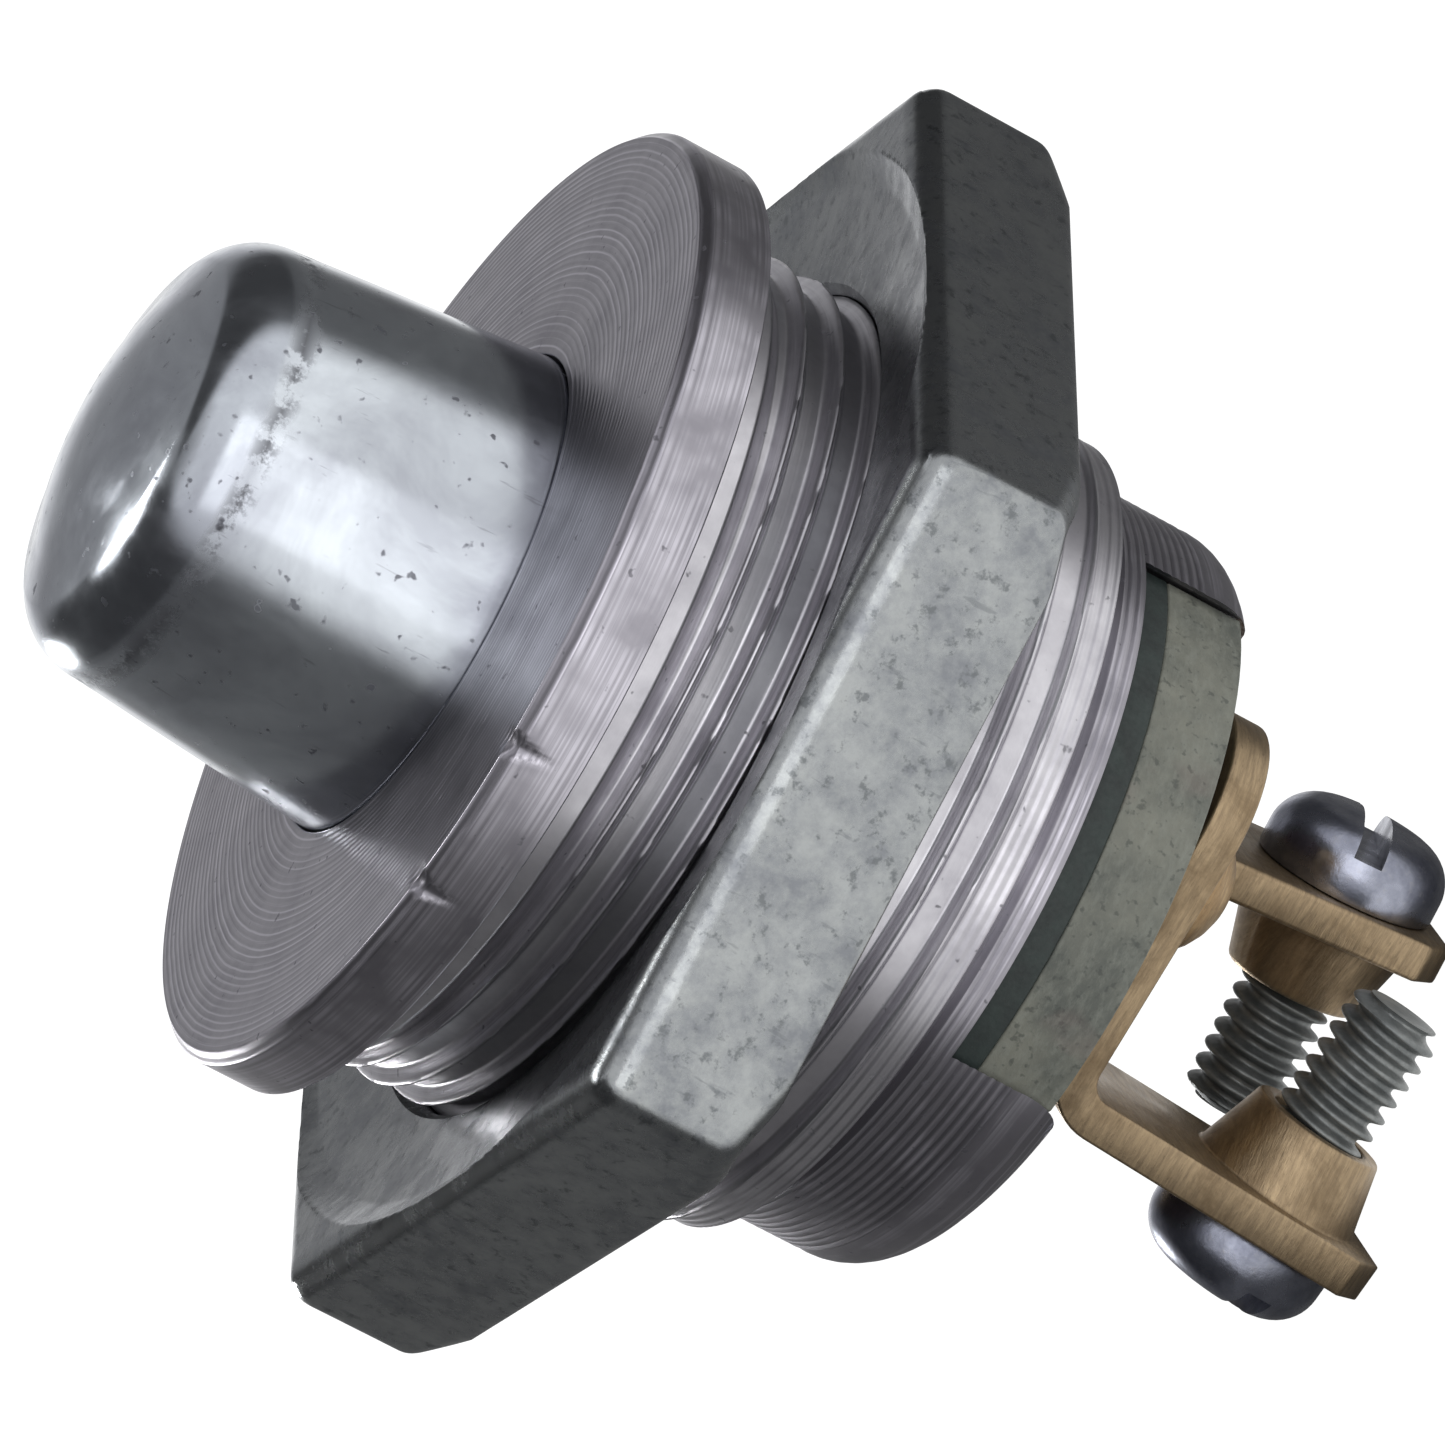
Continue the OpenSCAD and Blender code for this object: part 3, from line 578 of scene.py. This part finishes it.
def makeButton():
    top, low = buttonHigh[2], buttonLow[2]
    base = barrelHigh[2]
    foot = button["footRadius"]
    tip = foot - button["taper"]
    edge = button["edgeRound"]
    flat = tip - edge
    domeR = (flat ** 2 + button["domeHeight"] ** 2) / (2 * button["domeHeight"])
    path = [(0, top)]
    for s in range(1, 17):
        r = flat * s / 16
        path.append((r, top - domeR + math.sqrt(domeR ** 2 - r ** 2)))
    lean = math.asin(flat / domeR)
    edgeZ = top - button["domeHeight"] - edge
    for s in range(1, 15):
        a = math.pi / 2 - lean - (math.pi / 2 - lean) * s / 14
        path.append((flat + edge * math.cos(a), edgeZ + edge * math.sin(a) * 0.99))
    for s in range(1, 30):
        t = s / 29
        path.append((tip + (foot - tip) * t, edgeZ + (base - edgeZ) * t))
    shoulder = buttonHigh[0]
    stop = -button["footDepth"]
    hollow = button["hollowRadius"]
    ceiling = top - button["capThickness"]
    path += [(foot, stop), (shoulder, stop), (shoulder, low), (hollow, low), (hollow, ceiling),
             (button["stemHole"], ceiling), (0, ceiling)]

    def dents(radius, height, angles):
        spots = np.array([noise.noise(Vector((r * math.cos(a) * 0.35, r * math.sin(a) * 0.35, h * 0.35)))
                          for r, h, a in zip(radius, height, angles)])
        outside = (height > base) & (radius > 0.1)
        return radius * (1 + 0.0012 * spots * outside), height + 0.012 * spots * outside

    piece = lathe("buttonCap", path, 160, wobble=dents)
    return place(piece, "plunger", "button_metal", finishes["button"], "button_cap")


# Return spring, coiled between the ends of its CAD box

spring = {"wireR": 0.45, "coilR": 4.0, "turns": 6, "deadTurns": 0.8, "travel": 3.0,
          "stepsATurn": 40, "sides": 14}


def makeSpring():
    springLow, springHigh = boxMm("return_spring")
    low, high = springLow[2] + spring["wireR"], springHigh[2] - spring["wireR"]
    total = spring["turns"]
    count = int(total * spring["stepsATurn"]) + 1
    dead = spring["deadTurns"]
    rows = []
    for i in range(count):
        turn = total * i / (count - 1)
        # the end turns lie nearly flat, and the turns between share the rest
        rise = np.interp(turn, [0, dead, total - dead, total], [0, 0.06, 0.94, 1])
        a = 2 * math.pi * turn
        outward = np.array([math.cos(a), math.sin(a), 0])
        centre = spring["coilR"] * outward + np.array([0, 0, low + (high - low) * rise])
        for k in range(spring["sides"]):
            b = 2 * math.pi * k / spring["sides"]
            rows.append(centre + spring["wireR"] * (math.cos(b) * outward + math.sin(b) * np.array([0, 0, 1])))
    sides = spring["sides"]
    faces = gridFaces(count, sides)
    faces += [tuple(range(sides)), tuple((count - 1) * sides + k for k in range(sides))]
    piece = newPiece("returnSpring", rows, faces, 50)
    place(piece, "housing", "spring_steel", finishes["spring"], "return_spring")
    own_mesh(piece)


# Panel nut: a rounded hexagon with a dished front

nut = {"cornerRound": 0.75, "frontRound": 1.0, "backRound": 0.5, "dishRadius": 17.05, "dishEdge": 0.9,
       "dishEdgeDepth": 0.5, "dishDepth": 1.0, "backFlat": 1.3, "backAngle": 30,
       "blend": 0.06, "boreGap": 0.04, "segments": 720}


def hexRadius(angles, flat, corner):
    # the flats face +Y and -Y, and every 60 degrees from there
    turn = (angles - math.pi / 2 + math.pi / 6) % (math.pi / 3) - math.pi / 6
    corner = max(corner, 0.001)
    inner = flat - corner
    half = inner * math.tan(math.pi / 6)
    straight = flat / np.cos(turn)
    u, v = np.cos(np.abs(turn)), np.sin(np.abs(turn))
    along = inner * u + half * v
    root = along ** 2 - inner ** 2 - half ** 2 + corner ** 2
    rounded = along + np.sqrt(np.maximum(root, 0))
    return np.where(flat * np.tan(np.abs(turn)) <= half, straight, rounded)


def makeNut():
    flat = nutHigh[1]
    front, back = nutHigh[2], nutLow[2]
    bore = threadR + nut["boreGap"]
    count = nut["segments"]
    angles = np.linspace(0, 2 * math.pi, count, endpoint=False)
    corner = nut["cornerRound"]

    def dish(radius):
        edge = nut["dishRadius"]
        steep = np.clip((edge - radius) / nut["dishEdge"], 0, 1)
        drop = nut["dishEdgeDepth"] * steep ** 0.8
        run = np.clip((edge - nut["dishEdge"] - radius) / (edge - nut["dishEdge"] - bore), 0, 1)
        return drop + (nut["dishDepth"] - nut["dishEdgeDepth"]) * run

    def chamferBack(radius):
        return np.clip(radius - (flat + nut["backFlat"]), 0, None) * math.tan(math.radians(nut["backAngle"]))

    def ringRow(radius, height):
        return np.stack([radius * np.cos(angles), radius * np.sin(angles), height], 1)

    rows = []
    # front, from the bore out
    insets = np.concatenate([np.linspace(2.4, 1.1, 16), np.linspace(1.0, 0.02, 22)])
    innerEdge = hexRadius(angles, flat - insets[0], max(corner - insets[0], 0.3))
    for t in np.linspace(0, 1, 14)[:-1]:
        radius = bore + 0.25 + (innerEdge - bore - 0.25) * t
        height = front - np.maximum(dish(radius), 0)
        rows.append(ringRow(radius, height))
    for inset in insets:
        radius = hexRadius(angles, flat - inset, max(corner - inset, 0.3) if inset > 0.3 else corner)
        rho = nut["frontRound"]
        fall = rho - math.sqrt(max(rho ** 2 - max(rho - inset, 0) ** 2, 0))
        a, b = dish(radius), np.full_like(radius, fall)
        soft = nut["blend"]
        blendDepth = (np.log(np.exp(a / soft) + np.exp(b / soft)) * soft
                      - soft * math.log(2) * np.exp(-np.abs(a - b) / soft))
        rows.append(ringRow(radius, front - np.maximum(blendDepth, 0)))
    # sides
    outline = hexRadius(angles, flat, corner)
    backFall = chamferBack(outline)
    for t in np.linspace(0, 1, 4):
        top = front - nut["frontRound"]
        height = top + (back + nut["backRound"] + backFall - top) * t
        rows.append(ringRow(outline, height))
    # back, from the edge in
    for s in range(1, 9):
        a = math.radians(90 * s / 8)
        inset = nut["backRound"] * (1 - math.cos(a))
        radius = hexRadius(angles, flat - inset, max(corner - inset, 0.3))
        rows.append(ringRow(radius, back + nut["backRound"] * (1 - math.sin(a)) + chamferBack(radius)))
    inner = hexRadius(angles, flat - nut["backRound"], max(corner - nut["backRound"], 0.3))
    for t in np.linspace(0, 1, 7)[1:]:
        radius = inner + (bore + 0.4 - inner) * t
        rows.append(ringRow(radius, back + chamferBack(radius)))
    # bore
    rows.append(ringRow(np.full(count, bore), np.full(count, back + 0.4)))
    rows.append(ringRow(np.full(count, bore), np.full(count, front - nut["dishDepth"] - 0.25)))
    total = len(rows)
    faces = gridFaces(total, count)
    last = (total - 1) * count
    faces += [(last + j, last + (j + 1) % count, (j + 1) % count, j) for j in range(count)]
    piece = newPiece("panelNut", np.concatenate(rows), faces, 38)
    return place(piece, "nut", "nut_metal", finishes["nut"], "panel_nut")


# Terminal screws: domed slotted head and a real helical thread

screw = {"r": 1.475, "pitch": 0.6, "length": 7.5, "headR": 2.8, "headHeight": 2.3, "edgeRound": 1.35,
         "slotWidth": 0.9, "slotDepth": 0.95, "slotAngle": 78, "crown": 0.16, "threadStep": 0.045,
         "segments": 96}


def makeScrew(letter):
    mount = mountOf("wire_clamp_" + letter)
    joint = next(j for j in frame["joints"] if j["name"] == "screw_%s_travel" % letter)
    axis = Vector(joint["axis"]).normalized()
    across = axis.cross(Vector((0, 0, 1))).normalized()
    up = across.cross(axis)
    depth = 0.6134 * screw["pitch"]
    count = screw["segments"]
    angles = np.linspace(0, 2 * math.pi, count, endpoint=False)
    headR, high, edge = screw["headR"], screw["headHeight"], screw["edgeRound"]
    profile = [(0.0, high)]
    crown = screw["crown"]
    for s in range(1, 9):
        r = (headR - edge) * s / 8
        profile.append((r, high - crown * (r / (headR - edge)) ** 2))
    for s in range(1, 13):
        a = math.radians(90 - 90 * s / 12)
        profile.append((headR - edge + edge * math.cos(a), high - crown - edge + edge * math.sin(a)))
    profile += [(headR, 0.16), (headR - 0.05, 0.05), (headR - 0.16, 0.0), (screw["r"], 0.0)]
    headPiece = lathe("screwHead" + letter.upper(), profile + [(screw["r"], -0.35), (0.0, -0.35)], count)
    driver = slab("driver", (0, 0, high), (20, screw["slotWidth"], 2 * screw["slotDepth"]),
                  screw["slotAngle"])
    cutAway(headPiece, [driver])
    heights = np.arange(-0.3, -screw["length"] - 1e-6, -screw["threadStep"])
    rows = []
    for z in heights:
        phase = (-z / screw["pitch"] - angles / (2 * math.pi)) % 1.0
        off = np.abs(phase - 0.5) * 2
        cut = (1 - smoothStep(0.18, 0.92, off)) * depth
        fade = np.clip((-0.5 - z) / 0.4, 0, 1) * np.clip((z + screw["length"]) / 0.3 + 0.45, 0, 1)
        tip = 0.28 * np.clip(1 - (z + screw["length"]) / 0.35, 0, 1)
        radius = screw["r"] - cut * fade - tip
        rows.append(np.stack([radius * np.cos(angles), radius * np.sin(angles), np.full(count, z)], 1))
    faces = gridFaces(len(rows), count)
    last = (len(rows) - 1) * count
    faces.append(tuple(last + j for j in range(count)))
    shank = newPiece("screwThread" + letter.upper(), np.concatenate(rows), faces, 50)
    basis = Matrix((up, across, axis)).transposed().to_4x4()
    spot = Matrix.Translation(Vector(mount["pos_m"]))
    for piece, look in ((headPiece, "screw"), (shank, "screwThread")):
        piece.data.transform(spot @ basis)
        place(piece, "screw_" + letter, "screw_plating", finishes[look], "terminal_screw_" + letter)


# Pieces that keep their CAD outline and get worn, rounded edges

def roundedCopy(node, name, body, slot, material, width, segments=3):
    source = frame["nodes"][node]
    piece = bpy.data.objects.new(name, source.data.copy())
    bpy.context.scene.collection.objects.link(piece)
    work = bmesh.new()
    work.from_mesh(piece.data)
    bmesh.ops.remove_doubles(work, verts=work.verts, dist=1e-6)
    bmesh.ops.dissolve_limit(work, angle_limit=math.radians(1.2), verts=work.verts, edges=work.edges)
    work.to_mesh(piece.data)
    work.free()
    bevel = piece.modifiers.new("edge", "BEVEL")
    bevel.width = width * mm
    bevel.segments = segments
    bevel.limit_method = "ANGLE"
    bevel.angle_limit = math.radians(28)
    bevel.use_clamp_overlap = True
    bevel.harden_normals = False
    bakeModifiers(piece, 35)
    return place(piece, body, slot, material, node)


terminals = {"edge": 0.16, "rivetEdge": 0.08}
backLayers = {"discEdge": 0.07, "gasketEdge": 0.07, "spacerEdge": 0.12}


def makeTerminals():
    for letter in "ab":
        roundedCopy("terminal_" + letter, "terminal" + letter.upper(), "housing", "terminal_brass",
                    finishes["terminal"], terminals["edge"])
        roundedCopy("contact_rivet_" + letter, "rivet" + letter.upper(), "housing", "rivet_brass",
                    finishes["rivet"], terminals["rivetEdge"], 2)


def makeDisc():
    roundedCopy("insulator_disc", "insulatorDisc", "housing", "disc_laminate",
                finishes["disc"], backLayers["discEdge"])
    # this gasket's near-black finish carries painted shade for the shadowed gap beside the insulator
    roundedCopy("gasket_sheet", "gasketSheet", "housing", "gasket_rubber",
                finishes["gasket"], backLayers["gasketEdge"])
    # the dark spacer sheet also stands in, as painted shade, for the shadowed gap under the terminal plates
    roundedCopy("fibre_spacer", "fibreSpacer", "housing", "spacer_fibre",
                finishes["spacer"], backLayers["spacerEdge"])


makeFlange()
threadBottom, threadRoot = makeThread()
makeHead(threadBottom, threadRoot)
print("Barrel made")
makeButton()
makeSpring()
makeNut()
print("Button, spring and nut made")
for letter in "ab":
    makeScrew(letter)
makeTerminals()
makeDisc()
print("Terminals, screws and disc made")

innerFinishes = {
    "plunger_stem": "stem", "spring_washer": "washer", "guide_bush": "guide",
    "contact_liner": "liner", "contact_disc": "copper", "upper_insulating_washer": "insulation",
    "lower_insulating_bush": "insulation", "stem_clip": "clip", "silver_tip_a": "silver", "silver_tip_b": "silver",
}
for node, look in innerFinishes.items():
    target = frame["nodes"][node]
    target.data.materials.clear()
    target.data.materials.append(finishes[look])
print("Inner pieces finished")


# Floor, light and camera

studio = {"floorSize": 6.0, "front": (0.47, -0.88), "frontEdge": (0.36, 0.66), "frontLight": 1.05,
          "back": (0.0, 1.0), "backEdge": (0.84, 0.96), "backLight": 0.9, "sideLight": 0.07,
          "frontFade": (0.88, 1.0, 0.25), "backFade": (0.02, 0.26, 0.3),
          "elevation": 17.39, "roll": 62.17, "distance": 0.323,
          "spanAtAxis": 0.040935, "offset": (-0.006537, 0.002722), "lampAim": (0, 0, -0.008),
          "tableLight": 1.02}


# brightness of the softboxes round the table: a wide one in front, a narrow one behind
def roundTheTable(f, spot, fades=False):
    split = f.add("SeparateXYZ", inputs={0: spot}).node.outputs
    flat = f.add("CombineXYZ", inputs={0: split[0], 1: split[1], 2: 0.0})
    way = f.add("VectorMath", operation="NORMALIZE", inputs={0: flat})
    total = studio["sideLight"]
    up = f.add("Math", operation="MAXIMUM", inputs={0: split[2], 1: 0.0}) if fades else None
    for side in ("front", "back"):
        along = f.add("VectorMath", out=1, operation="DOT_PRODUCT", inputs={0: way, 1: (*studio[side], 0)})
        low, high = studio[side + "Edge"]
        box = f.grey(along, low, high, 0.0, studio[side + "Light"])
        box.node.interpolation_type = "SMOOTHSTEP"
        if fades:
            start, end, left = studio[side + "Fade"]
            box = f.maths("MULTIPLY", box, f.grey(up, start, end, 1.0, left))
        total = f.maths("ADD", total, box)
    return total


def makeFloor():
    size = studio["floorSize"] / mm / 2
    ring = [(size * math.cos(a), size * math.sin(a), cadBox[0].z / mm - 0.05)
            for a in np.linspace(0, 2 * math.pi, 48, endpoint=False)]
    floor = newPiece("floor", ring, [tuple(range(48))])
    f = Finish("paleFloor")
    # the table itself is evenly pale; what it throws back at the metal follows the softboxes
    glow = roundTheTable(f, f.coords)
    direct = f.add("LightPath")
    seen = f.maths("MULTIPLY", direct, studio["tableLight"])
    thrown = f.maths("MULTIPLY", f.maths("SUBTRACT", 1.0, direct), glow)
    level = f.maths("ADD", seen, thrown)
    f.link(level, f.shader.inputs["Emission Strength"])
    f.shader.inputs["Emission Color"].default_value = (1, 1, 1, 1)
    floor.data.materials.append(f.done((0.1, 0.1, 0.1), 0.0, 0.9))


def makeLight():
    world = bpy.data.worlds.new("studio")
    bpy.context.scene.world = world
    world.use_nodes = True
    f = Finish("studio", world.node_tree)
    background = f.tree.nodes["Background"]
    f.link(f.mix(roundTheTable(f, f.coords, True), (0, 0, 0), (0.97, 0.97, 1.0)), background.inputs["Color"])
    background.inputs["Strength"].default_value = 1.0
    lamps = (("frontSoftbox", (0.08, -0.42, 0.06), 0.5, 0.38), ("topSoftbox", (-0.10, 0.16, 0.36), 0.5, 0.14),
             ("backSoftbox", (-0.24, 0.36, 0.02), 0.5, 0.08))
    for name, spot, power, size in lamps:
        lamp = bpy.data.lights.new(name, "AREA")
        lamp.energy = power
        lamp.size = size
        holder = bpy.data.objects.new(name, lamp)
        holder.location = spot
        holder.rotation_euler = (Vector(studio["lampAim"]) - Vector(spot)).to_track_quat("-Z", "Y").to_euler()
        bpy.context.scene.collection.objects.link(holder)


def makeCamera():
    tilt, roll = math.radians(studio["elevation"]), math.radians(studio["roll"])
    forward = Vector((0, math.cos(tilt), -math.sin(tilt)))
    c, s = math.cos(roll), math.sin(roll)
    right = Vector((c, -s * math.sin(tilt), -s * math.cos(tilt)))
    up = Vector((s, c * math.sin(tilt), c * math.cos(tilt)))
    aim = -(right * studio["offset"][0] + up * studio["offset"][1])
    camera = bpy.data.objects.new("camera", bpy.data.cameras.new("camera"))
    turn = Matrix((right, up, -forward)).transposed().to_4x4()
    camera.matrix_world = Matrix.Translation(aim - forward * studio["distance"]) @ turn
    camera.data.sensor_width = 36
    camera.data.lens = 36 * studio["distance"] / studio["spanAtAxis"]
    camera.data.clip_start, camera.data.clip_end = 0.01, 20
    bpy.context.scene.collection.objects.link(camera)
    bpy.context.scene.camera = camera


makeFloor()
makeLight()
makeCamera()
bpy.context.scene.view_settings.view_transform = "Standard"
print("Studio ready")
